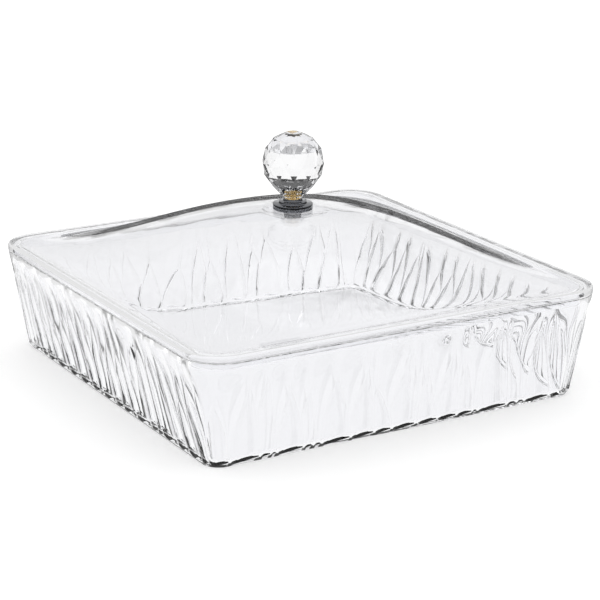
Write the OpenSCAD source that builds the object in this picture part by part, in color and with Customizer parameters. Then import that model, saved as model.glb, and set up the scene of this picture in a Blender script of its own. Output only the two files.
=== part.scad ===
// Square storage box in clear acrylic, with flared bark-textured walls,
// a domed lift-off lid and a faceted crystal knob.
// Millimetres, +Z up, origin on the table under the middle of the box.

/* [Tray] */
// Outside width of the tray at its rim
rim_w = 215; // [206:1:240]
// Outside width of the tray at its foot
foot_w = 197; // [170:1:206]
// Height of the tray
tray_h = 50.5; // [40:0.5:70]
// Corner radius at the rim
rim_corner_r = 18; // [14:1:26]
// Corner radius at the foot
foot_corner_r = 9; // [8:1:14]
// Wall thickness, measured over the ridges
wall_t = 3.2; // [2.8:0.1:4]
// Floor thickness
floor_t = 2.2; // [2:0.1:5]
// Radius of the inside fillet between floor and wall
floor_fillet_r = 4; // [3:1:9]

/* [Bark texture] */
// Pairs of leaf-shaped scoops along each side
leaf_pairs = 17; // [10:1:18]
// Depth of the widest scoops
leaf_depth = 1.5; // [0.6:0.1:1.6]
// Height of the plain plinth below the scoops
plinth_h = 0.8; // [0.5:0.1:5]
// Height of the plain band between the scoops and the rim
rim_band_h = 2.4; // [2:0.1:8]
// Number that picks one arrangement of the leaves
leaf_seed = 11; // [1:1:99]

/* [Lid] */
// Thickness of the lid at its flange
flange_t = 3.2; // [2.6:0.1:5]
// Width of the flat flange around the dome
flange_w = 9; // [9:0.5:16]
// Rise of the dome above the flange
dome_h = 26.8; // [12:0.1:40]
// Wall thickness of the dome
dome_t = 2.6; // [2:0.1:2.6]
// Depth of the lip that drops inside the tray
lip_h = 4; // [2.5:0.5:6]
// Thickness of the lip
lip_t = 1.8; // [1.4:0.1:2.4]
// Gap between the lip and the tray wall
lip_gap = 0.5; // [0.4:0.1:0.8]

/* [Knob] */
// Diameter of the crystal ball
ball_d = 30; // [24:1:40]
// Facets around the ball
ball_facets = 12; // [10:1:16]
// Diameter of the flat under the ball
ball_flat_d = 8; // [8:0.2:9]
// Diameter of the chrome base under the ball
base_d = 19.2; // [16:0.2:20]
// Diameter of the brass insert glued into the ball
insert_d = 5.4; // [5.4:0.1:6]
// Nominal diameter of the screw
screw_d = 4; // [3:1:4]
// Length of the screw under its head
screw_len = 14; // [13:1:14]

/* [Hidden] */

acrylic = [0.90, 0.93, 0.96, 0.55];
crystal = [0.86, 0.88, 0.92, 0.70];
eps = 0.01;

// Sides and corners of an outline: straight_share of each side's points lie on its straight run.
straight_share = 0.88;
corner_steps = 8;

rim_half = rim_w / 2;
foot_half = foot_w / 2;
flare = (rim_half - foot_half) / tray_h;

// Point on a rounded square, u running from 0 to 4 anticlockwise, one unit a side.
function square_point(half, r, u) =
    let (side = floor(u), f = u - side, flat = half - r)
    let (a = -90 + 90 * (f - straight_share) / (1 - straight_share))
    let (p = f <= straight_share
        ? [flat * (2 * f / straight_share - 1), -half]
        : [flat + r * cos(a), -flat + r * sin(a)])
    turned(p, side);

// Outward direction of the rounded square at the same place.
function square_normal(u) =
    let (side = floor(u), f = u - side)
    let (a = f <= straight_share ? -90 : -90 + 90 * (f - straight_share) / (1 - straight_share))
    turned([cos(a), sin(a)], side);

// A point turned by a number of quarter turns.
function turned(p, quarters) =
    let (c = [1, 0, -1, 0][quarters % 4], s = [0, 1, 0, -1][quarters % 4])
    [c * p.x - s * p.y, s * p.x + c * p.y];

// Places along an outline: a few on each straight run, then the steps of the corner.
function outline_places(side_steps) = [
    for (side = [0:3])
        for (i = [0:side_steps + corner_steps - 1])
            side + (i < side_steps
                ? straight_share * i / side_steps
                : straight_share + (1 - straight_share) * (i - side_steps) / corner_steps)
];

// One closed ring of a rounded square at height z.
function square_ring(half, r, z, places) = [
    for (u = places) let (p = square_point(half, r, u)) [p.x, p.y, z]
];

function half_at(z) = foot_half + flare * z;
function corner_at(z) = foot_corner_r + (rim_corner_r - foot_corner_r) * z / tray_h;

// Closed skin over rings with equal numbers of points round the Z axis. The first ring and the
// last one are flat, and each is closed by a fan of triangles about its middle.
module skin(rings) {
    n = len(rings[0]);
    last = len(rings) - 1;
    first_middle = n * len(rings);
    middles = [[0, 0, rings[0][0].z], [0, 0, rings[last][0].z]];
    points = concat([for (ring = rings) each ring], middles);
    walls = [
        for (j = [0:last - 1])
            for (i = [0:n - 1])
                let (k = (i + 1) % n, low = j * n, high = (j + 1) * n)
                each [[low + i, high + i, low + k], [high + i, high + k, low + k]]
    ];
    caps = [
        for (i = [0:n - 1])
            let (k = (i + 1) % n, end = last * n)
            each [[i, k, first_middle], [end + k, end + i, first_middle + 1]]
    ];
    polyhedron(points = points, faces = concat(walls, caps), convexity = 10);
}

// The bark texture. Front petals stand side by side all round the foot and sweep up to a tip, each
// at a height of its own. Where two have drawn apart, a back petal shows between them and runs on
// to the rim. Ridges 2m and 2m + 1 are the left and right side of front petal m, and the surface
// sinks into a shallow scoop between each ridge and the next.
ridges = 8 * leaf_pairs;
petals = ridges / 2;
ridge_step = 4 / ridges;
common_lean = 0.8;
lean_spread = 1.2;
sweep_power = 1.6;
mid_tip = 0.73;
tip_spread = 0.25;
tip_stray = 0.9;
petal_power = 1.9;
width_spread = 0.2;
slow_drift = [0.3, 11];
quick_drift = [0.15, 29];
least_gap = 0.12;
reach = 6;

// Even scatter between -1 and 1, the same each time for the same whole number and salt.
function scatter(i, salt) =
    let (h = 437.585 * sin(78.233 * (i + 1) * (salt + leaf_seed)))
    2 * (h - floor(h)) - 1;
function petal_number(m) = (m + petals) % petals;

// Middle of front petal m at share v of the height, in ridge steps: upright at its tip, swept
// over to one side towards the foot.
function petal_middle(m, v) =
    let (n = petal_number(m), sweep = common_lean * (1 + lean_spread * scatter(n, 0.83)))
    2 * m + 0.5 + sweep * pow(1 - v, sweep_power) + tip_stray * scatter(n, 0.57) * v;

// Half width of front petal m: it narrows upwards to its tip.
function petal_half(m, v) =
    let (n = petal_number(m), tip = mid_tip + tip_spread * scatter(n, 0.31))
    (1 + width_spread * scatter(n, 0.44) * v) * max(0, 1 - pow(v / tip, petal_power));

// Where ridge k would run if it met no other.
function free_ridge(k, v) =
    let (m = floor(k / 2), half = petal_half(m, v))
    petal_middle(m, v) + (k % 2 == 0 ? -half : half + least_gap);

// A slow sideways drift round the wall, given as its reach in ridge steps and its number of waves.
function sway(drift, place) = drift[0] * sin(360 * drift[1] * place / ridges);

// Sideways place of ridge k, in units of one side. A ridge that meets another runs on beside it.
function ridge_place(k, v) =
    let (place = max([for (j = [0:reach]) free_ridge(k - j, v) + j * least_gap]))
    ridge_step * (place + sway(slow_drift, place) + sway(quick_drift, place));

// Points across each scoop: its left ridge and two on its floor, as shares of its width.
scoop_shares = [0, 0.22, 0.64];
widest = 2 * ridge_step;

// Shares of the scoops' height where the skin has a ring. The scoops step in sharply at the foot
// and fade out under the rim.
foot_step_share = 0.025;
scoop_rows = [0, foot_step_share, 0.18, 0.34, 0.5, 0.64, 0.77, 0.89, 1];
fade_share = 0.28;
scallop_h = 1.5;
scallop_drop = 0.15;
arch_h = 1.5;

function scoop_share(v) =
    min(1, v / foot_step_share) * (0.5 - 0.5 * cos(180 * min(1, (1 - v) / fade_share)));

// The plinth under the scoops is a chamfer that runs in towards the underside.
foot_chamfer_h = plinth_h + scallop_h;
foot_chamfer_angle = 30;
function foot_inset(z) = max(0, foot_chamfer_h - z) * tan(foot_chamfer_angle);

// The foot of a scoop climbs from its left side to its right ridge and drops beside the next one.
function foot_climb(t) = t < scallop_drop ? 1 - t / scallop_drop : (t - scallop_drop) / (1 - scallop_drop);

function bark_point(k, t, v) =
    let (left = ridge_place(k, v), width = ridge_place(k + 1, v) - left)
    let (breadth = min(1, max(0, width) / widest * 1.15))
    let (fullness = breadth * (1 - pow(abs(2 * t - 1), 3)))
    let (low = plinth_h + scallop_h * (1 - breadth * (1 - foot_climb(t))))
    let (high = tray_h - rim_band_h - arch_h * (1 - fullness))
    let (z = low + (high - low) * v, u = (left + t * width + 4) % 4)
    let (p = square_point(half_at(z), corner_at(z), u))
    let (inset = foot_inset(z) + leaf_depth * fullness * scoop_share(v), q = p - square_normal(u) * inset)
    [q.x, q.y, z];

// Ring of plain wall with the same number of points as the rings of the texture.
function plain_ring(half, r, z, v) = [
    for (k = [0:ridges - 1])
        let (left = ridge_place(k, v), width = ridge_place(k + 1, v) - left)
        for (t = scoop_shares)
            let (p = square_point(half, r, (left + t * width + 4) % 4))
            [p.x, p.y, z]
];

module bark_block() {
    foot = [plain_ring(foot_half - foot_inset(0), foot_corner_r - foot_inset(0), 0, 0)];
    leaves = [
        for (v = scoop_rows)
            [for (k = [0:ridges - 1]) for (t = scoop_shares) bark_point(k, t, v)]
    ];
    rim = [plain_ring(rim_half, rim_corner_r, tray_h, 1)];
    skin(concat(foot, leaves, rim));
}

// Smooth inside of the tray: flat floor, a quarter-round fillet and walls parallel to the outside.
fillet_steps = 5;
floor_corner_r = 4;

module tray_cavity() {
    places = outline_places(1);
    lift = floor_fillet_r;
    fillet = [
        for (i = [0:fillet_steps])
            let (a = 90 * i / fillet_steps, z = floor_t + lift * (1 - cos(a)))
            let (inset = wall_t + floor_fillet_r * (1 - sin(a)))
            square_ring(half_at(z) - inset, max(floor_corner_r, corner_at(z) - inset), z, places)
    ];
    top_z = tray_h + 1;
    mouth = [square_ring(half_at(top_z) - wall_t, corner_at(top_z) - wall_t, top_z, places)];
    skin(concat(fillet, mouth));
}

module tray() {
    color(acrylic)
    difference() {
        bark_block();
        tray_cavity();
    }
}

// The dome is a cushion: it rises from the flange as a power of the product of two parabolas,
// and its top is cut flat as a round seat for the knob.
crease_half = rim_half - flange_w;
crease_corner_r = rim_corner_r - flange_w + 2;
dome_edge_power = 2.23;
dome_rise_power = 1.23;
seat_r = 10.8;
seat_cut = 0.4;
flange_top = tray_h + flange_t;
seat_z = flange_top + dome_h;
under_seat_z = seat_z - dome_t;

function cushion(x) = max(0, 1 - pow(min(1, abs(x) / crease_half), dome_edge_power));
function dome_z(p) =
    flange_top + (dome_h + seat_cut) * pow(cushion(p.x) * cushion(p.y), dome_rise_power);

// Ring of the dome at share s of the way from the knob's round seat to the crease.
function dome_ring(s, drop, places) = [
    for (u = places)
        let (edge = square_point(crease_half, crease_corner_r, u), seat = seat_r * edge / norm(edge))
        let (p = seat + s * (edge - seat), z = min(seat_z, dome_z(p)))
        [p.x, p.y, z - drop]
];

dome_shares = [0, 0.1, 0.2, 0.32, 0.44, 0.56, 0.68, 0.78, 0.87, 0.94];
lid_side_steps = 8;
lip_inset = wall_t + lip_gap + flare * lip_h;
lid_edge_r = 0.7;
screw_hole_d = screw_d + 0.5;

module lid_shell() {
    places = outline_places(lid_side_steps);
    under_z = flange_top - dome_t;
    under_dome = [for (s = dome_shares) dome_ring(s, dome_t, places)];
    under_flange = [square_ring(crease_half, crease_corner_r, under_z, places)];
    lip = [
        for (step = [[lip_inset + lip_t, under_z], [lip_inset + lip_t, tray_h - lip_h],
                     [lip_inset, tray_h - lip_h], [lip_inset, tray_h]])
            square_ring(rim_half - step[0], rim_corner_r - step[0], step[1], places)
    ];
    edge = [
        for (step = [[0, tray_h], [0, flange_top - lid_edge_r], [lid_edge_r, flange_top]])
            square_ring(rim_half - step[0], rim_corner_r - step[0], step[1], places)
    ];
    crease = [square_ring(crease_half, crease_corner_r, flange_top, places)];
    top_dome = [
        for (i = [len(dome_shares) - 1:-1:0])
            dome_ring(dome_shares[i], 0, places)
    ];
    skin(concat(under_dome, under_flange, lip, edge, crease, top_dome));
}

module lid() {
    color(acrylic)
    difference() {
        lid_shell();
        translate([0, 0, under_seat_z - 1])
            cylinder(d = screw_hole_d, h = dome_t + 2, $fn = 48);
    }
}

// Chrome base: a flange and two steps, each blended into the next with a small cove.
base_r = base_d / 2;
lower_step_r = 0.34 * base_d;
upper_step_r = 0.235 * base_d;
base_rim_h = 2.7;
base_step_h = 1.15;
base_h = base_rim_h + 2 * base_step_h;
base_cove = 0.6;
base_chamfer = 0.4;
base_bore_r = screw_d / 2 + 0.1;

module knob_base() {
    color("silver")
    translate([0, 0, seat_z])
    rotate_extrude($fn = 96)
        polygon([
            [base_bore_r, 0],
            [base_r, 0],
            [base_r, base_rim_h - base_chamfer],
            [base_r - base_chamfer, base_rim_h],
            [lower_step_r + base_cove, base_rim_h],
            [lower_step_r, base_rim_h + base_cove],
            [lower_step_r, base_rim_h + base_step_h],
            [upper_step_r + base_cove, base_rim_h + base_step_h],
            [upper_step_r, base_rim_h + base_step_h + base_cove],
            [upper_step_r, base_h],
            [base_bore_r, base_h]
        ]);
}

// Crystal ball: rings of vertices, each turned half a facet against the last, so that every
// face between them is a triangle. Below the ball the rings close in on a cone with a flat.
ball_base_z = seat_z + base_h;
ball_r = ball_d / 2;
cone_drop = 2.6;
ball_centre_z = ball_base_z + ball_r + cone_drop;
ball_latitudes = [-50, -25, 1, 27.5, 52, 75];
ball_turn = 1;
insert_len = 7;
socket_d = insert_d + 0.1;
socket_h = insert_len + 0.5;

function ball_ring(r, z, i) = [
    for (k = [0:ball_facets - 1])
        let (a = ball_turn + 180 * i / ball_facets + 360 * k / ball_facets)
        [r * cos(a), r * sin(a), z]
];

module knob_ball() {
    color(crystal)
    difference() {
        skin(concat(
            [ball_ring(ball_flat_d / 2, ball_base_z, 0)],
            [
                for (i = [0:len(ball_latitudes) - 1])
                    let (lat = ball_latitudes[i])
                    ball_ring(ball_r * cos(lat), ball_centre_z + ball_r * sin(lat), i + 1)
            ]
        ));
        translate([0, 0, ball_base_z - 1])
            cylinder(d = socket_d, h = socket_h + 1, $fn = 48);
    }
}

// Brass insert: three bands that grip the glue, with a groove between each two.
band_h = 1.8;
groove_depth = 0.2;
insert_bore_d = screw_d + 0.1;
insert_cap_h = 1;

module threaded_insert() {
    color("goldenrod")
    translate([0, 0, ball_base_z])
    difference() {
        union() {
            cylinder(d = insert_d - 2 * groove_depth, h = insert_len, $fn = 48);
            for (share = [0, 0.5, 1])
                translate([0, 0, share * (insert_len - band_h)])
                    cylinder(d = insert_d, h = band_h, $fn = 48);
        }
        translate([0, 0, -eps])
            cylinder(d = insert_bore_d, h = insert_len - insert_cap_h, $fn = 48);
    }
}

washer_t = 0.8;
washer_d = 12;
washer_hole_d = screw_d + 0.4;
screw_top_z = under_seat_z - washer_t;

module screw_washer() {
    color("lightgray")
    translate([0, 0, screw_top_z])
    difference() {
        cylinder(d = washer_d, h = washer_t, $fn = 64);
        translate([0, 0, -1])
            cylinder(d = washer_hole_d, h = washer_t + 2, $fn = 48);
    }
}

head_d = 8;
head_h = 2.4;
head_edge_r = 1.2;

module knob_screw() {
    color("silver")
    translate([0, 0, screw_top_z])
    union() {
        cylinder(d = screw_d, h = screw_len, $fn = 48);
        rotate_extrude($fn = 64)
            union() {
                translate([0, -head_h])
                    square([head_d / 2 - head_edge_r, head_h]);
                translate([0, -head_h + head_edge_r])
                    square([head_d / 2, head_h - head_edge_r]);
                translate([head_d / 2 - head_edge_r, -head_h + head_edge_r])
                    circle(r = head_edge_r, $fn = 32);
            }
    }
}

tray();
lid();
knob_ball();
threaded_insert();
knob_base();
screw_washer();
knob_screw();
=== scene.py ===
"""Clear acrylic storage box with bark-textured walls, a domed lid and a faceted crystal knob.

Metres, +Z up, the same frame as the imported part. Each piece is lofted or spun in bmesh and rides
on the body that its solid belongs to.
"""

import math

import bmesh
import bpy
from mathutils import Matrix, Vector


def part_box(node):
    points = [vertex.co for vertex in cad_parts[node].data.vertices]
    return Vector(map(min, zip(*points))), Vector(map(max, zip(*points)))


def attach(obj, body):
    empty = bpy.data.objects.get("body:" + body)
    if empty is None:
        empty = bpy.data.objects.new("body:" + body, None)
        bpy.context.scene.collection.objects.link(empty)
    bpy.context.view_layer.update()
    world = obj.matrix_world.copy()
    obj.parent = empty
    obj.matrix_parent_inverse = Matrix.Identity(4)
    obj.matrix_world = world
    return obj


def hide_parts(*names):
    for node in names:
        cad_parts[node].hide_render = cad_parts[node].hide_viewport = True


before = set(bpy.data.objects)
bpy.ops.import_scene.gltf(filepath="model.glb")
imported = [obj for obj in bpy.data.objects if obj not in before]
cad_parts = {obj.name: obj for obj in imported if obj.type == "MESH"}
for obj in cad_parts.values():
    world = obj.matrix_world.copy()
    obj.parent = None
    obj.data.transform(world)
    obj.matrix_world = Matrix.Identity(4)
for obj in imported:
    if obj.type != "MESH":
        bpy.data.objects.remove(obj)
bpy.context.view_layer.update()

MM = 0.001
SAME_POINT = 1e-7
SEAM_GAP = 1e-6


# Places taken from the solids

TRAY_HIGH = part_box("tray")[1]
LID_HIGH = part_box("lid")[1]
BALL_LOW, BALL_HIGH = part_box("knob_ball")
BASE_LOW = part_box("knob_base")[0]
INSERT_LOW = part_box("threaded_insert")[0]
WASHER_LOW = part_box("screw_washer")[0]
SCREW_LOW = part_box("knob_screw")[0]


# Rounded square that the tray and the lid follow

RIM_HALF = TRAY_HIGH.x
TRAY_H = TRAY_HIGH.z
FOOT_HALF = 98.5 * MM
RIM_CORNER_R = 18 * MM
FOOT_CORNER_R = 9 * MM
FLARE = (RIM_HALF - FOOT_HALF) / TRAY_H
STRAIGHT_SHARE = 0.88


def quarter_turned(x, y, quarters):
    """A point turned by a number of quarter turns."""
    c, s = ((1, 0), (0, 1), (-1, 0), (0, -1))[quarters % 4]
    return c * x - s * y, s * x + c * y


def square_point(half, r, u):
    """Point and outward direction on a rounded square; u runs from 0 to 4, one unit a side."""
    side = math.floor(u)
    f = u - side
    flat = half - r
    if f <= STRAIGHT_SHARE:
        local, out = (flat * (2 * f / STRAIGHT_SHARE - 1), -half), (0, -1)
    else:
        a = math.radians(-90 + 90 * (f - STRAIGHT_SHARE) / (1 - STRAIGHT_SHARE))
        out = (math.cos(a), math.sin(a))
        local = (flat + r * out[0], -flat + r * out[1])
    return Vector(quarter_turned(*local, side)), Vector(quarter_turned(*out, side))


def half_at(z):
    """Half width of the tray's outside at height z."""
    return FOOT_HALF + FLARE * z


def corner_at(z):
    """Corner radius of the tray's outside at height z."""
    return FOOT_CORNER_R + (RIM_CORNER_R - FOOT_CORNER_R) * z / TRAY_H


# Bark texture: petals swept up from the foot, each hollowed into a scoop

LEAF_PAIRS = 17
LEAF_DEPTH = 1.5 * MM
LEAF_SEED = 11
RIDGES = 8 * LEAF_PAIRS
PETALS = 4 * LEAF_PAIRS
RIDGE_STEP = 4 / RIDGES

PLINTH_H = 0.8 * MM
FOOT_CHAMFER_ANGLE = 22
SCALLOP_H = 1.5 * MM
SCALLOP_DROP = 0.15
FOOT_CHAMFER_H = PLINTH_H + SCALLOP_H
RIM_BAND_H = 2.4 * MM
ARCH_H = 1.5 * MM

COMMON_LEAN = 0.3
LEAN_SPREAD = 2.5
SWEEP_POWER = 1.6
MID_TIP = 0.73
TIP_SPREAD = 0.25
TIP_STRAY = 0.9
PETAL_POWER = 1.9
WIDTH_SPREAD = 0.2
LEAST_GAP = 0.12
REACH = 6

# Scatter: a gain and a turn in degrees that shuffle it, and a salt for each thing that it varies
SCATTER_GAIN = 437.585
SCATTER_TURN = 78.233
LEAN_SALT = 0.83
STRAY_SALT = 0.57
TIP_SALT = 0.31
WIDTH_SALT = 0.44

# Sideways drifts of all ridges: size in ridge steps, and waves round the box
DRIFTS = ((0.3, 11), (0.15, 29))

# Hollow of a scoop: where it is deepest, how each side falls and how wide a full one is
DEEPEST = 0.5
LEFT_FALL_POWER = 1.5
RIGHT_FALL_POWER = 0.9
BREADTH_GAIN = 1.15
FOOT_STEP_SHARE = 0.025
FADE_SHARE = 0.28


def foot_inset(z):
    """How far the plinth's chamfer runs in under the box at height z."""
    return max(0, FOOT_CHAMFER_H - z) * math.tan(math.radians(FOOT_CHAMFER_ANGLE))


def scatter(i, salt):
    """Even scatter between -1 and 1, the same each time for the same whole number and salt."""
    h = SCATTER_GAIN * math.sin(math.radians(SCATTER_TURN * (i + 1) * (salt + LEAF_SEED)))
    return 2 * (h - math.floor(h)) - 1


def petal_middle(m, v):
    """Middle of front petal m, in ridge steps: upright at its tip, swept over towards the foot."""
    n = m % PETALS
    sweep = COMMON_LEAN * (1 + LEAN_SPREAD * scatter(n, LEAN_SALT)) * (1 - v) ** SWEEP_POWER
    return 2 * m + 0.5 + sweep + TIP_STRAY * scatter(n, STRAY_SALT) * v


def petal_half(m, v):
    """Half width of front petal m: it narrows upwards, and its tip is at a height of its own."""
    n = m % PETALS
    tip = MID_TIP + TIP_SPREAD * scatter(n, TIP_SALT)
    width = 1 + WIDTH_SPREAD * scatter(n, WIDTH_SALT) * v
    return width * max(0, 1 - (v / tip) ** PETAL_POWER)


def free_ridge(k, v):
    """Where ridge k, one side of a petal, would run if it met no other, in ridge steps."""
    m = k // 2
    half = petal_half(m, v)
    return petal_middle(m, v) + (half + LEAST_GAP if k % 2 else -half)


def ridge_place(k, v):
    """Sideways place of ridge k: a ridge that meets another runs on close beside it."""
    place = max(free_ridge(k - j, v) + j * LEAST_GAP for j in range(REACH + 1))
    drift = sum(size * math.sin(math.tau * waves * place / RIDGES) for size, waves in DRIFTS)
    return RIDGE_STEP * (place + drift)


def scoop_share(v):
    """Share of a scoop's depth at share v of its height: a step at the foot, fading to the rim."""
    fall = 0.5 - 0.5 * math.cos(math.pi * min(1, (1 - v) / FADE_SHARE))
    return min(1, v / FOOT_STEP_SHARE) * fall


def scoop_hollow(t):
    """Share of a scoop's depth at share t of its width: none at its ridges, all where deepest."""
    if t < DEEPEST:
        return 1 - (1 - t / DEEPEST) ** LEFT_FALL_POWER
    return math.cos(math.pi / 2 * (t - DEEPEST) / (1 - DEEPEST)) ** RIGHT_FALL_POWER


def foot_climb(t):
    """The foot of a scoop climbs to its right ridge and drops beside the next one."""
    return 1 - t / SCALLOP_DROP if t < SCALLOP_DROP else (t - SCALLOP_DROP) / (1 - SCALLOP_DROP)


def bark_point(k, t, v):
    """Point of the scooped wall: share t across scoop k, share v of the way up."""
    left = ridge_place(k, v)
    width = ridge_place(k + 1, v) - left
    breadth = min(1, max(0, width) / (2 * RIDGE_STEP) * BREADTH_GAIN)
    fullness = breadth * scoop_hollow(t)
    low = PLINTH_H + SCALLOP_H * (1 - breadth * (1 - foot_climb(t)))
    high = TRAY_H - RIM_BAND_H - ARCH_H * (1 - fullness)
    z = low + (high - low) * v
    p, out = square_point(half_at(z), corner_at(z), (left + t * width + 4) % 4)
    p -= out * (foot_inset(z) + LEAF_DEPTH * fullness * scoop_share(v))
    return Vector((p.x, p.y, z))


# Mesh helpers

def finish_piece(name, bm, finish, sharp_deg=30):
    """Merges seams, points faces outward, marks sharp edges and makes the object."""
    bmesh.ops.remove_doubles(bm, verts=bm.verts[:], dist=SEAM_GAP)
    bmesh.ops.recalc_face_normals(bm, faces=bm.faces[:])
    mesh = bpy.data.meshes.new(name)
    bm.to_mesh(mesh)
    bm.free()
    for face in mesh.polygons:
        face.use_smooth = True
    mesh.set_sharp_from_angle(angle=math.radians(sharp_deg))
    mesh.materials.append(finish)
    piece = bpy.data.objects.new(name, mesh)
    bpy.context.scene.collection.objects.link(piece)
    return piece


def loft(stations, places):
    """A closed skin through rings. Each station is a function that gives the point at a place."""
    columns, rows = len(places), len(stations) - 1
    bm = bmesh.new()
    bmesh.ops.create_grid(bm, x_segments=columns, y_segments=rows, size=1)
    for vert in bm.verts:
        column = round((vert.co.x + 1) / 2 * columns) % columns
        row = round((vert.co.y + 1) / 2 * rows)
        vert.co = stations[row](places[column])
    bmesh.ops.remove_doubles(bm, verts=bm.verts[:], dist=SAME_POINT)
    bmesh.ops.holes_fill(bm, edges=[e for e in bm.edges if e.is_boundary], sides=0)
    return bm


def flat_ring(half, r, z):
    """Station: a rounded square of the given half width and corner radius at height z."""
    def at(place):
        p, _ = square_point(half, r, place % 4)
        return Vector((p.x, p.y, z))
    return at


def turned(profile, steps, closed=True):
    """Spins a profile of radius and height, in millimetres, about the knob's axis."""
    bm = bmesh.new()
    verts = [bm.verts.new((r * MM, 0, z * MM)) for r, z in profile]
    pairs = zip(verts, verts[1:] + verts[:1] if closed else verts[1:])
    edges = [bm.edges.new(pair) for pair in pairs]
    bmesh.ops.spin(
        bm,
        geom=verts + edges,
        cent=(0, 0, 0),
        axis=(0, 0, 1),
        angle=math.tau,
        steps=steps,
        use_merge=True,
    )
    bmesh.ops.remove_doubles(bm, verts=bm.verts[:], dist=SAME_POINT)
    bmesh.ops.recalc_face_normals(bm, faces=bm.faces[:])
    return bm


def bevel_edges(bm, edges, offset, segments):
    """Cuts the given edges back, flat with one segment and rounded with more."""
    bmesh.ops.bevel(
        bm,
        geom=edges,
        offset=offset,
        segments=segments,
        profile=0.5,
        affect="EDGES",
        material=-1,
    )


def soften(bm, offset, angle):
    """Rounds every edge that turns by more than the given angle in degrees."""
    limit = math.radians(angle)
    sharp = [e for e in bm.edges if e.is_manifold and e.calc_face_angle() > limit]
    bevel_edges(bm, sharp, offset, segments=3)


# Finishes

class Wire:
    """A socket of a node tree. Sums, products, differences and comparisons add Math nodes."""

    def __init__(self, tree, socket):
        self.tree, self.socket = tree, socket

    def _maths(self, operation, a, b):
        node = self.tree.nodes.new("ShaderNodeMath")
        node.operation = operation
        for slot, value in zip(node.inputs, (a, b)):
            join(self.tree, slot, value)
        return Wire(self.tree, node.outputs[0])

    def __add__(self, other):
        return self._maths("ADD", self, other)

    def __radd__(self, other):
        return self._maths("ADD", other, self)

    def __sub__(self, other):
        return self._maths("SUBTRACT", self, other)

    def __rsub__(self, other):
        return self._maths("SUBTRACT", other, self)

    def __mul__(self, other):
        return self._maths("MULTIPLY", self, other)

    def __rmul__(self, other):
        return self._maths("MULTIPLY", other, self)

    def __gt__(self, other):
        return self._maths("GREATER_THAN", self, other)

    def __lt__(self, other):
        return self._maths("LESS_THAN", self, other)


def join(tree, slot, value):
    """Links a wire to a socket, or sets the socket to a plain value."""
    if isinstance(value, Wire):
        tree.links.new(value.socket, slot)
    else:
        slot.default_value = value


class Finish:
    """A material or world tree that nodes are added to by type, settings and socket values."""

    def __init__(self, tree):
        self.tree = tree
        tree.nodes.clear()

    def node(self, kind, settings=None, numbered=None, **named):
        """Adds a node. Sockets go by number where two of them share a name."""
        made = self.tree.nodes.new(kind)
        for name, value in (settings or {}).items():
            setattr(made, name, value)
        for number, value in (numbered or {}).items():
            join(self.tree, made.inputs[number], value)
        for name, value in named.items():
            join(self.tree, made.inputs[name.replace("_", " ")], value)
        return made

    def wire(self, node, output=0):
        return Wire(self.tree, node.outputs[output])

    def noise(self, coords, scale, detail):
        node = self.node("ShaderNodeTexNoise", Vector=coords, Scale=scale, Detail=detail)
        return self.wire(node, "Fac")

    def surface(self, shader):
        self.node("ShaderNodeOutputMaterial", Surface=self.wire(shader))


def new_material(name):
    """A material and the tree that its nodes are added to."""
    mat = bpy.data.materials.new(name)
    mat.use_nodes = True
    return mat, Finish(mat.node_tree)


def object_coords(f, scale=(1, 1, 1)):
    """Object coordinates through a Mapping node, in units of the given scale."""
    coords = f.wire(f.node("ShaderNodeTexCoord"), "Object")
    return f.wire(f.node("ShaderNodeMapping", Vector=coords, Scale=scale))


# Painted glow in the acrylics: how many gloss turns bring it on, the stretch and share of its
# patches, and the height below which there is none
MANY_TURNS = 3.5
PATCH_STRETCH = (1, 1, 0.22)
PATCH_SHARE = 0.53
DARK_FLOOR_H = 3 * MM


def clear_acrylic(name, painted_glow_above, painted_glow_level):
    """Polished moulded acrylic with faint flow ripple and haze, and a painted glow.

    Rays that gloss has turned back many times get a painted glow, an emission that stands in for
    the light they lose, above the given height, and below it in patches that run up the wall. In
    the floor they get none, which draws the dark line at the foot.
    """
    mat, f = new_material(name)
    mat.cycles.emission_sampling = "NONE"
    coords = object_coords(f)
    ripple = f.noise(coords, scale=45.0, detail=1.0)
    haze = f.noise(coords, scale=140.0, detail=3.0)
    bump = f.node("ShaderNodeBump", Height=ripple, Strength=0.05, Distance=0.002)
    height = f.wire(f.node("ShaderNodeSeparateXYZ", Vector=coords), "Z")
    # Painted glow: emission on rays turned back many times, standing in for light they lose, above
    # a height and in patches
    turns = f.wire(f.node("ShaderNodeLightPath"), "Glossy Depth")
    patch = f.noise(object_coords(f, PATCH_STRETCH), scale=190.0, detail=1.0)
    painted_glow_place = (height > painted_glow_above) + (height > DARK_FLOOR_H) * (patch > PATCH_SHARE)
    painted_glow = (turns > MANY_TURNS) * (painted_glow_place > 0.5) * painted_glow_level
    shader = f.node(
        "ShaderNodeBsdfPrincipled",
        Base_Color=(0.97, 0.972, 0.985, 1),
        Roughness=0.004 + haze * 0.012,
        IOR=1.49,
        Transmission_Weight=1.0,
        Normal=f.wire(bump),
        Emission_Color=f.wire(f.node("ShaderNodeCombineColor", Red=painted_glow, Green=painted_glow, Blue=painted_glow)),
        Emission_Strength=1.0,
    )
    f.surface(shader)
    return mat


def cut_crystal():
    """Cut crystal: sharp and bright, with the faintest polishing haze."""
    mat, f = new_material("cut_crystal")
    haze = f.noise(object_coords(f), scale=300.0, detail=2.0)
    shader = f.node(
        "ShaderNodeBsdfPrincipled",
        Base_Color=(0.985, 0.985, 0.99, 1),
        Roughness=haze * 0.006,
        IOR=1.56,
        Transmission_Weight=1.0,
    )
    f.surface(shader)
    return mat


STAIN_STRETCH = (1, 1, 8)
LINE_STRETCH = (0.05, 0.05, 1)
STAIN_SHADE = 0.82


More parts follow.
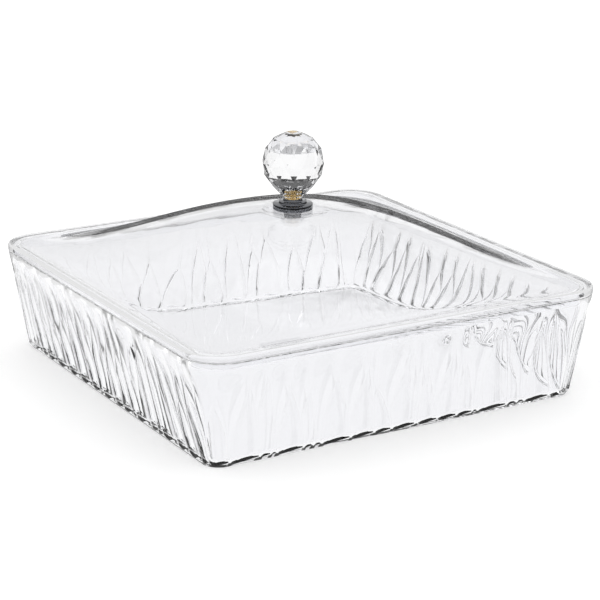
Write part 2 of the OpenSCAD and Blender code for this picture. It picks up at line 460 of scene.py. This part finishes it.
def turned_metal(name, colour, low_rough, high_rough):
    """Metal with fine turning lines round its axis and small cloudy stains."""
    mat, f = new_material(name)
    cloud = f.noise(object_coords(f, STAIN_STRETCH), scale=220.0, detail=4.0)
    grooves = f.noise(object_coords(f, LINE_STRETCH), scale=900.0, detail=1.0)
    bump = f.node("ShaderNodeBump", Height=grooves, Strength=0.06, Distance=0.0002)
    dull = tuple(STAIN_SHADE * c for c in colour[:3]) + (1,)
    factor, first, second, result = 0, 6, 7, 2
    tone = f.node(
        "ShaderNodeMix", {"data_type": "RGBA"}, {factor: cloud, first: dull, second: colour}
    )
    shader = f.node(
        "ShaderNodeBsdfPrincipled",
        Base_Color=f.wire(tone, result),
        Metallic=1.0,
        Roughness=low_rough + cloud * (high_rough - low_rough),
        Normal=f.wire(bump),
    )
    f.surface(shader)
    return mat


# Both acrylics carry the painted glow: the tray's above 36 mm and in patches, the lid's all over
TRAY_ACRYLIC = clear_acrylic("tray_acrylic", painted_glow_above=36 * MM, painted_glow_level=0.4)
LID_ACRYLIC = clear_acrylic("lid_acrylic", painted_glow_above=0.0, painted_glow_level=0.4)
CRYSTAL = cut_crystal()
# The chrome is given a dark colour as painted shade: it stands in for the dark surroundings that
# polished chrome reflects
PAINTED_DARK_CHROME = turned_metal("chrome_painted_dark", (0.17, 0.175, 0.19, 1), low_rough=0.03, high_rough=0.08)
BRASS = turned_metal("turned_brass", (0.86, 0.62, 0.27, 1), low_rough=0.12, high_rough=0.25)
STEEL = turned_metal("plated_steel", (0.66, 0.66, 0.67, 1), low_rough=0.2, high_rough=0.35)


# Tray: one skin from the middle of the underside, up the bark, over the rim and down inside

WALL_T = 3.2 * MM
FLOOR_T = 1.2 * MM
FLOOR_FILLET_R = 2.5 * MM
LEAST_FLOOR_CORNER_R = 4 * MM
RIM_EDGE_R = 0.5 * MM
RIM_GAP = 0.05 * MM

ACROSS = 10
CROWDING = 1.5
BARK_ROWS = 30
RIM_STEPS = 3
FILLET_STEPS = 10


def bark_ring(half, r, z, v):
    """Station: a plain rounded square whose points keep in step with the scoops at share v."""
    def at(place):
        k, t = place
        left = ridge_place(k, v)
        u = (left + t * (ridge_place(k + 1, v) - left) + 4) % 4
        p, _ = square_point(half, r, u)
        return Vector((p.x, p.y, z))
    return at


def even_ring(half, r, z):
    """Station: a plain rounded square with evenly spaced ridges."""
    ring = flat_ring(half, r, z)
    return lambda place: ring((place[0] + place[1]) * RIDGE_STEP)


def tray_piece():
    """The tray: foot, bark, outside and inside of the rim, and the fillet down to the floor."""
    places = [(k, (i / ACROSS) ** CROWDING) for k in range(RIDGES) for i in range(ACROSS)]
    stations = [bark_ring(FOOT_HALF - foot_inset(0), FOOT_CORNER_R - foot_inset(0), 0, 0)]
    bark_rise = 1 - FOOT_STEP_SHARE
    shares = [0] + [FOOT_STEP_SHARE + bark_rise * j / BARK_ROWS for j in range(BARK_ROWS + 1)]
    for v in shares:
        stations.append(lambda place, v=v: bark_point(*place, v))
    rim_top = TRAY_H - RIM_GAP
    for i in range(RIM_STEPS + 1):
        a = math.radians(90 * i / RIM_STEPS)
        inset = RIM_EDGE_R * (1 - math.cos(a))
        z = rim_top - RIM_EDGE_R * (1 - math.sin(a))
        stations.append(bark_ring(half_at(z) - inset, corner_at(z) - inset, z, 1))
    for i in range(RIM_STEPS + 1):
        a = math.radians(90 * i / RIM_STEPS)
        inset = WALL_T - RIM_EDGE_R * (1 - math.sin(a))
        z = rim_top - RIM_EDGE_R * (1 - math.cos(a))
        stations.append(even_ring(half_at(z) - inset, corner_at(z) - inset, z))
    for i in range(FILLET_STEPS + 1):
        a = math.radians(90 * (1 - i / FILLET_STEPS))
        z = FLOOR_T + FLOOR_FILLET_R * (1 - math.cos(a))
        inset = WALL_T + FLOOR_FILLET_R * (1 - math.sin(a))
        r = max(LEAST_FLOOR_CORNER_R, corner_at(z) - inset)
        stations.append(even_ring(half_at(z) - inset, r, z))
    piece = finish_piece("moulded_tray", loft(stations, places), TRAY_ACRYLIC, sharp_deg=32)
    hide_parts("tray")
    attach(piece, "tray")


# Lid: one skin from under the knob, along the underside and lip, over the flange and up the dome

FLANGE_T = 3.2 * MM
FLANGE_W = 9 * MM
FLANGE_LOW_R = 0.4 * MM
FLANGE_TOP_R = 1.1 * MM
LEAST_LIP_CORNER_R = 2 * MM
LIP_H = 4 * MM
LIP_T = 1.8 * MM
LIP_GAP = 0.5 * MM
LIP_TIP_R = 0.5 * MM
LIP_TIP_SHARE = 0.3
DOME_T = 2.6 * MM
DOME_CROWN = 0.4 * MM
DOME_EDGE_POWER = 2.23
DOME_RISE_POWER = 1.23
CREASE_SOFTNESS = 2 * MM
SEAT_R = 10.8 * MM
HOLE_R = 2.25 * MM

SEAT_Z = LID_HIGH.z
FLANGE_TOP = TRAY_H + FLANGE_T
DOME_H = SEAT_Z - FLANGE_TOP
CREASE_HALF = RIM_HALF - FLANGE_W
CREASE_R = RIM_CORNER_R - FLANGE_W + CREASE_SOFTNESS

SIDE_STEPS = 40
CORNER_STEPS = 16
DOME_STEPS = 36
FLANGE_LOW_STEPS = 3
FLANGE_TOP_STEPS = 6


def dome_z(p):
    """Height of the dome over point p. Its crown would stand above the seat, which cuts it flat."""
    x, y = (1 - min(1, abs(c) / CREASE_HALF) ** DOME_EDGE_POWER for c in p)
    return FLANGE_TOP + (DOME_H + DOME_CROWN) * max(0, x * y) ** DOME_RISE_POWER


def dome_ring(s, drop):
    """Station: the dome at share s of the way from the knob's round seat to the crease."""
    def at(place):
        edge, _ = square_point(CREASE_HALF, CREASE_R, place % 4)
        seat = SEAT_R * edge.normalized()
        p = seat + s * (edge - seat)
        return Vector((p.x, p.y, min(SEAT_Z, dome_z(p)) - drop))
    return at


def hole_ring(z):
    """Station: the screw's hole at height z, in step with the dome's rings."""
    def at(place):
        edge, _ = square_point(CREASE_HALF, CREASE_R, place % 4)
        p = HOLE_R * edge.normalized()
        return Vector((p.x, p.y, z))
    return at


def rim_ring(inset, z):
    """Station: the rim's rounded square, drawn in by inset, at height z."""
    return flat_ring(RIM_HALF - inset, max(LEAST_LIP_CORNER_R, RIM_CORNER_R - inset), z)


def lip_rings():
    """Stations down the inside of the lip, round its tip and up its outside."""
    outer = WALL_T + LIP_GAP + FLARE * LIP_H
    inner = outer + LIP_T
    low = TRAY_H - LIP_H
    nick = LIP_TIP_SHARE * LIP_TIP_R
    return [
        rim_ring(inner, FLANGE_TOP - DOME_T),
        rim_ring(inner, low + LIP_TIP_R),
        rim_ring(inner - nick, low + nick),
        rim_ring(inner - LIP_TIP_R, low),
        rim_ring(outer + LIP_TIP_R, low),
        rim_ring(outer + nick, low + nick),
        rim_ring(outer, low + LIP_TIP_R),
        rim_ring(outer, TRAY_H),
    ]


def lid_piece():
    """The lid: underside of the dome, lip, flange, top of the dome and the hole for the screw."""
    places = []
    corner_share = 1 - STRAIGHT_SHARE
    for side in range(4):
        bend = side + STRAIGHT_SHARE
        places += [side + STRAIGHT_SHARE * i / SIDE_STEPS for i in range(SIDE_STEPS)]
        places += [bend + corner_share * i / CORNER_STEPS for i in range(CORNER_STEPS)]
    shares = [i / DOME_STEPS for i in range(DOME_STEPS + 1)]
    stations = [hole_ring(SEAT_Z - DOME_T)]
    stations += [dome_ring(s, DOME_T) for s in shares]
    stations += lip_rings()
    for i in range(FLANGE_LOW_STEPS + 1):
        a = math.radians(90 * i / FLANGE_LOW_STEPS)
        z = TRAY_H + FLANGE_LOW_R * (1 - math.cos(a))
        stations.append(rim_ring(FLANGE_LOW_R * (1 - math.sin(a)), z))
    for i in range(FLANGE_TOP_STEPS + 1):
        a = math.radians(90 * i / FLANGE_TOP_STEPS)
        z = FLANGE_TOP - FLANGE_TOP_R * (1 - math.sin(a))
        stations.append(rim_ring(FLANGE_TOP_R * (1 - math.cos(a)), z))
    stations += [dome_ring(s, 0) for s in reversed(shares)]
    stations += [hole_ring(SEAT_Z), hole_ring(SEAT_Z - DOME_T)]
    piece = finish_piece("moulded_lid", loft(stations, places), LID_ACRYLIC, sharp_deg=32)
    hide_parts("lid")
    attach(piece, "lid")


# Knob's ball: rings of facets, with a socket that the insert is glued into

BALL_R = 15 * MM
BALL_FACETS = 12
BALL_FLAT_R = 4 * MM
BALL_TURN = 1
BALL_LATITUDES = (-50, -25, 1, 27.5, 52, 75)
BALL_BASE_Z = BALL_LOW.z
BALL_CENTRE_Z = BALL_HIGH.z - BALL_R * math.sin(math.radians(BALL_LATITUDES[-1]))
FACET_EDGE = 0.07 * MM
INSERT_R = 2.7 * MM
INSERT_LEN = 7 * MM
GLUE_OVERLAP = 0.04 * MM
SOCKET_R = INSERT_R - GLUE_OVERLAP
SOCKET_DEPTH = INSERT_LEN - GLUE_OVERLAP
RIM_FACET_SHARE = 0.97


def facet_ring(bm, r, z, i):
    """Corners of ring i of the ball, half a facet on from the ring before."""
    ring = bmesh.ops.create_circle(bm, segments=BALL_FACETS, radius=r)["verts"]
    turn = Matrix.Rotation(math.radians(BALL_TURN - 90 + 180 * i / BALL_FACETS), 3, "Z")
    bmesh.ops.rotate(bm, verts=ring, matrix=turn)
    bmesh.ops.translate(bm, verts=ring, vec=(0, 0, z))


def knob_ball_piece():
    """The ball: a hull round its rings of corners, with every edge cut back a little."""
    bm = bmesh.new()
    facet_ring(bm, BALL_FLAT_R, BALL_BASE_Z, 0)
    for i, latitude in enumerate(BALL_LATITUDES):
        a = math.radians(latitude)
        facet_ring(bm, BALL_R * math.cos(a), BALL_CENTRE_Z + BALL_R * math.sin(a), i + 1)
    bmesh.ops.convex_hull(bm, input=bm.verts[:])
    bmesh.ops.dissolve_limit(bm, angle_limit=math.radians(1), verts=bm.verts[:], edges=bm.edges[:])
    bevel_edges(bm, bm.edges[:], FACET_EDGE, segments=1)
    bmesh.ops.recalc_face_normals(bm, faces=bm.faces[:])
    bottom = min(bm.faces, key=lambda face: face.calc_center_median().z)
    rim_width = (BALL_FLAT_R - SOCKET_R) * RIM_FACET_SHARE
    bmesh.ops.inset_individual(bm, faces=[bottom], thickness=rim_width)
    grown = bmesh.ops.extrude_discrete_faces(bm, faces=[bottom])["faces"][0]
    bmesh.ops.translate(bm, verts=grown.verts[:], vec=(0, 0, SOCKET_DEPTH))
    piece = finish_piece("cut_crystal_ball", bm, CRYSTAL, sharp_deg=2)
    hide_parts("knob_ball")
    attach(piece, "lid")


# Knob's turned parts. Lengths are in millimetres here, except where MM brings them to metres.

BASE_STEPS = 128
BASE_EDGE_R = 0.28 * MM
BASE_PROFILE = (
    (2.1, 0),
    (9.6, 0),
    (9.6, 2.7),
    (7.1, 2.7),
    (6.7, 2.85),
    (6.53, 3.3),
    (6.53, 3.85),
    (5.05, 3.85),
    (4.68, 4.0),
    (4.51, 4.4),
    (4.51, 5.0),
    (2.1, 5.0),
)


def knob_base_piece():
    """The turned base, with its flange and two steps."""
    bm = turned(BASE_PROFILE, BASE_STEPS)
    soften(bm, BASE_EDGE_R, angle=60)
    bmesh.ops.translate(bm, verts=bm.verts[:], vec=(0, 0, BASE_LOW.z))
    piece = finish_piece("turned_base", bm, PAINTED_DARK_CHROME)
    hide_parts("knob_base")
    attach(piece, "lid")


INSERT_BAND_R = 2.7
INSERT_GROOVE_R = 2.45
INSERT_MOUTH_R = 2.3
INSERT_BORE_R = 2.05
INSERT_BORE_DEPTH = 6
MOUTH_CHAMFER = 0.25
BAND_CHAMFER = 0.2
INSERT_BANDS = ((0, 1.8), (2.6, 4.4), (5.2, 7.0))
KNURLS = 30
KNURL_DEPTH = 0.14


def insert_ring(r, z, depth):
    """Station: a ring of the insert, with knurls of the given depth."""
    def at(i):
        a = math.tau * i / (4 * KNURLS)
        reach = (r - depth * (i // 2 % 2)) * MM
        return Vector((reach * math.cos(a), reach * math.sin(a), INSERT_LOW.z + z * MM))
    return at


def threaded_insert_piece():
    """The insert: a blind bore and three knurled bands."""
    stations = [
        insert_ring(INSERT_BORE_R, INSERT_BORE_DEPTH, 0),
        insert_ring(INSERT_BORE_R, MOUTH_CHAMFER, 0),
        insert_ring(INSERT_MOUTH_R, 0, 0),
    ]
    for low, high in INSERT_BANDS:
        stations += [
            insert_ring(INSERT_GROOVE_R, low, 0),
            insert_ring(INSERT_BAND_R, low + BAND_CHAMFER, KNURL_DEPTH),
            insert_ring(INSERT_BAND_R, high - BAND_CHAMFER, KNURL_DEPTH),
            insert_ring(INSERT_GROOVE_R, high, 0),
        ]
    bm = loft(stations, range(4 * KNURLS))
    piece = finish_piece("knurled_insert", bm, BRASS, sharp_deg=25)
    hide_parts("threaded_insert")
    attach(piece, "lid")


WASHER_STEPS = 96
WASHER_EDGE_R = 0.12 * MM
WASHER_PROFILE = ((2.2, 0), (6.0, 0), (6.0, 0.8), (2.2, 0.8))


def screw_washer_piece():
    """The flat washer between the screw's head and the underside of the dome."""
    bm = turned(WASHER_PROFILE, WASHER_STEPS)
    soften(bm, WASHER_EDGE_R, angle=30)
    bmesh.ops.translate(bm, verts=bm.verts[:], vec=(0, 0, WASHER_LOW.z))
    piece = finish_piece("flat_washer", bm, STEEL)
    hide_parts("screw_washer")
    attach(piece, "lid")


HEAD_R = 4.0
HEAD_H = 2.4
HEAD_EDGE_R = 1.2
HEAD_EDGE_ANGLES = (22.5, 45, 67.5, 90)
HEAD_CHAMFER = 0.1
SHANK_R = 1.62
SHANK_LEN = 14.0
SHANK_TIP = 0.5
SCREW_STEPS = 72

THREAD_R = 2.0
THREAD_PITCH = 0.7
THREAD_START = 0.6
THREAD_ROOM = 1.6
THREAD_SUNK = 0.1
CREST_HALF = 0.05
TOOTH_SHARE = 0.46
TURN_STEPS = 24

RECESS_ARM = 1.7
RECESS_HALF = 0.45
RECESS_DEPTH = 1.3
RECESS_TAPER = 0.75
FLAT_WITHIN = 0.01 * MM


def cross_recess(bm):
    """Sinks a cross into the flat underside of the screw's head."""
    top = min(v.co.z for v in bm.verts) + FLAT_WITHIN
    for axis in ((1, 0, 0), (0, 1, 0)):
        for place in (-RECESS_ARM, -RECESS_HALF, RECESS_HALF, RECESS_ARM):
            under = [f for f in bm.faces if max(v.co.z for v in f.verts) < top]
            around = {e for f in under for e in f.edges} | {v for f in under for v in f.verts}
            point = Vector(axis) * place * MM
            bmesh.ops.bisect_plane(
                bm, geom=under + list(around), dist=SAME_POINT, plane_co=point, plane_no=axis
            )
    arms = []
    for face in bm.faces:
        centre = face.calc_center_median()
        short, long = sorted((abs(centre.x / MM), abs(centre.y / MM)))
        if centre.z < top and short < RECESS_HALF and long < RECESS_ARM:
            arms.append(face)
    grown = bmesh.ops.extrude_face_region(bm, geom=arms)["geom"]
    bmesh.ops.delete(bm, geom=arms, context="FACES_KEEP_BOUNDARY")
    inner = [v for v in grown if isinstance(v, bmesh.types.BMVert)]
    bmesh.ops.translate(bm, verts=inner, vec=(0, 0, RECESS_DEPTH * MM))
    bmesh.ops.scale(bm, verts=inner, vec=(RECESS_TAPER, RECESS_TAPER, 1))


def wind_thread(bm):
    """Winds one tooth of the thread up round the shank."""
    turns = math.floor((SHANK_LEN - THREAD_ROOM) / THREAD_PITCH)
    root, tooth_half = SHANK_R - THREAD_SUNK, TOOTH_SHARE * THREAD_PITCH
    corners = (
        (root, -tooth_half),
        (THREAD_R, -CREST_HALF),
        (THREAD_R, CREST_HALF),
        (root, tooth_half),
    )
    verts = [bm.verts.new((r * MM, 0, (THREAD_START + z) * MM)) for r, z in corners]
    tooth = bm.faces.new(verts)
    bmesh.ops.spin(
        bm,
        geom=verts + list(tooth.edges) + [tooth],
        cent=(0, 0, 0),
        axis=(0, 0, 1),
        dvec=(0, 0, THREAD_PITCH * MM / TURN_STEPS),
        angle=math.tau * turns,
        steps=TURN_STEPS * turns,
    )


def knob_screw_piece():
    """The screw, head down, with a cross recess and a thread wound round its shank."""
    flat_r = HEAD_R - HEAD_EDGE_R
    outline = [(0, -HEAD_H), (flat_r, -HEAD_H)]
    for angle in HEAD_EDGE_ANGLES:
        a = math.radians(angle)
        r = flat_r + HEAD_EDGE_R * math.sin(a)
        outline.append((r, HEAD_EDGE_R - HEAD_H - HEAD_EDGE_R * math.cos(a)))
    outline += [(HEAD_R, -HEAD_CHAMFER), (HEAD_R - HEAD_CHAMFER, 0), (SHANK_R, 0)]
    outline += [(SHANK_R, SHANK_LEN - SHANK_TIP), (SHANK_R - SHANK_TIP, SHANK_LEN), (0, SHANK_LEN)]
    bm = turned(outline, SCREW_STEPS, closed=False)
    cross_recess(bm)
    wind_thread(bm)
    bmesh.ops.translate(bm, verts=bm.verts[:], vec=(0, 0, SCREW_LOW.z + HEAD_H * MM))
    piece = finish_piece("pan_head_screw", bm, STEEL)
    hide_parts("knob_screw")
    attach(piece, "lid")


tray_piece()
lid_piece()
knob_ball_piece()
knob_base_piece()
threaded_insert_piece()
screw_washer_piece()
knob_screw_piece()


# Floor and white studio. Only light that polished faces turn or bend meets the dark surroundings.

FLOOR_REACH = 3
FLOOR_GAP = 0.1 * MM
FLOOR_GREY = 0.82
FLOOR_LIFT = 0.34
FLOOR_EDGE = 0.2
FLOOR_SHADE = 0.92
DARK_HEIGHT = 0.06
DARK_SHARE = 0.95
RING_LOW = 0.2
RING_HIGH = 0.75
SHEEN_SHARE = 0.25
WHITE = (1, 1, 1, 1)


def seen_in_reflection(f):
    """1 for a ray that polished surfaces have turned back at least once, and matt ones never."""
    path = f.node("ShaderNodeLightPath")
    return (f.wire(path, "Glossy Depth") > 0.5) * (f.wire(path, "Diffuse Depth") < 0.5)


def seen_in_gloss(f, path):
    """1 for a ray that comes from metal, crystal or acrylic and has met nothing matt."""
    gloss = f.wire(path, "Is Glossy Ray") + f.wire(path, "Is Transmission Ray")
    return (gloss > 0.5) * (f.wire(path, "Diffuse Depth") < 0.5)


def white_floor():
    """A matt floor with a soft shadow, which clear pieces show as white behind them."""
    bm = bmesh.new()
    bmesh.ops.create_grid(bm, x_segments=1, y_segments=1, size=FLOOR_REACH)
    bmesh.ops.translate(bm, verts=bm.verts[:], vec=(0, 0, -FLOOR_GAP))
    mesh = bpy.data.meshes.new("white_floor")
    bm.to_mesh(mesh)
    bm.free()
    floor = bpy.data.objects.new("white_floor", mesh)
    bpy.context.scene.collection.objects.link(floor)
    mat, f = new_material("white_sweep")
    path = f.node("ShaderNodeLightPath")
    matt = f.node("ShaderNodeBsdfDiffuse", Color=(FLOOR_GREY, FLOOR_GREY, FLOOR_GREY, 1))
    lift_level = f.wire(path, "Is Camera Ray") * FLOOR_LIFT
    lift = f.node("ShaderNodeEmission", Color=WHITE, Strength=lift_level)
    plain = f.node("ShaderNodeAddShader", numbered={0: f.wire(matt), 1: f.wire(lift)})
    coords = f.node("ShaderNodeSeparateXYZ", Vector=f.wire(f.node("ShaderNodeTexCoord"), "Object"))
    across = f.wire(coords, "X")
    along = f.wire(coords, "Y")
    beyond = 1 - (across * across < FLOOR_EDGE ** 2) * (along * along < FLOOR_EDGE ** 2)
    level = 1 - beyond * seen_in_reflection(f) * FLOOR_SHADE
    through = f.node("ShaderNodeEmission", Color=WHITE, Strength=level)
    mixed = f.node(
        "ShaderNodeMixShader",
        numbered={0: seen_in_gloss(f, path), 1: f.wire(plain), 2: f.wire(through)},
    )
    f.surface(mixed)
    mesh.materials.append(mat)


def studio_world():
    """A white studio, with a dark low edge and a dark ring higher up that gloss alone shows."""
    world = bpy.data.worlds.new("white_studio")
    bpy.context.scene.world = world
    world.use_nodes = True
    f = Finish(world.node_tree)
    sky = f.wire(f.node("ShaderNodeTexCoord"), "Generated")
    height = f.wire(f.node("ShaderNodeSeparateXYZ", Vector=sky), "Z")
    low = (height < DARK_HEIGHT) * seen_in_reflection(f)
    path = f.node("ShaderNodeLightPath")
    bent_only = f.wire(path, "Glossy Depth") < 0.5
    share = seen_in_gloss(f, path) * (SHEEN_SHARE + bent_only * (1 - SHEEN_SHARE))
    ring = (height > RING_LOW) * (height < RING_HIGH) * share
    level = 1 - (low + ring) * DARK_SHARE
    glow = f.node("ShaderNodeBackground", Color=WHITE, Strength=level)
    f.node("ShaderNodeOutputWorld", Surface=f.wire(glow))


# Camera at the photograph's angle

CAMERA_AZIMUTH = -31.0
CAMERA_ELEVATION = 17.64
CAMERA_DISTANCE = 1.0235
CAMERA_FOCAL_PX = 2109.7
CAMERA_OFFSET = (0.00395, 0.00421)
CAMERA_ROLL = 0.575
CAMERA_AIM = Vector((0, 0, 0.030))
PHOTO_PX = 600
SENSOR_MM = 36


def photo_camera():
    """A camera at the angle, distance and roll that fit the photograph's edges."""
    a, e = math.radians(CAMERA_AZIMUTH), math.radians(CAMERA_ELEVATION)
    back = Vector((math.sin(a) * math.cos(e), -math.cos(a) * math.cos(e), math.sin(e)))
    right = Vector((math.cos(a), math.sin(a), 0))
    up = back.cross(right)
    roll = math.radians(CAMERA_ROLL)
    right, up = (
        math.cos(roll) * right + math.sin(roll) * up,
        math.cos(roll) * up - math.sin(roll) * right,
    )
    place = CAMERA_AIM + back * CAMERA_DISTANCE + right * CAMERA_OFFSET[0] + up * CAMERA_OFFSET[1]
    data = bpy.data.cameras.new("photo_camera")
    data.sensor_width = SENSOR_MM
    data.lens = CAMERA_FOCAL_PX / PHOTO_PX * SENSOR_MM
    camera = bpy.data.objects.new("photo_camera", data)
    turn = Matrix((right, up, back)).transposed().to_4x4()
    camera.matrix_world = Matrix.Translation(place) @ turn
    bpy.context.scene.collection.objects.link(camera)
    bpy.context.scene.camera = camera


white_floor()
studio_world()
photo_camera()
bpy.context.scene.view_settings.view_transform = "Standard"
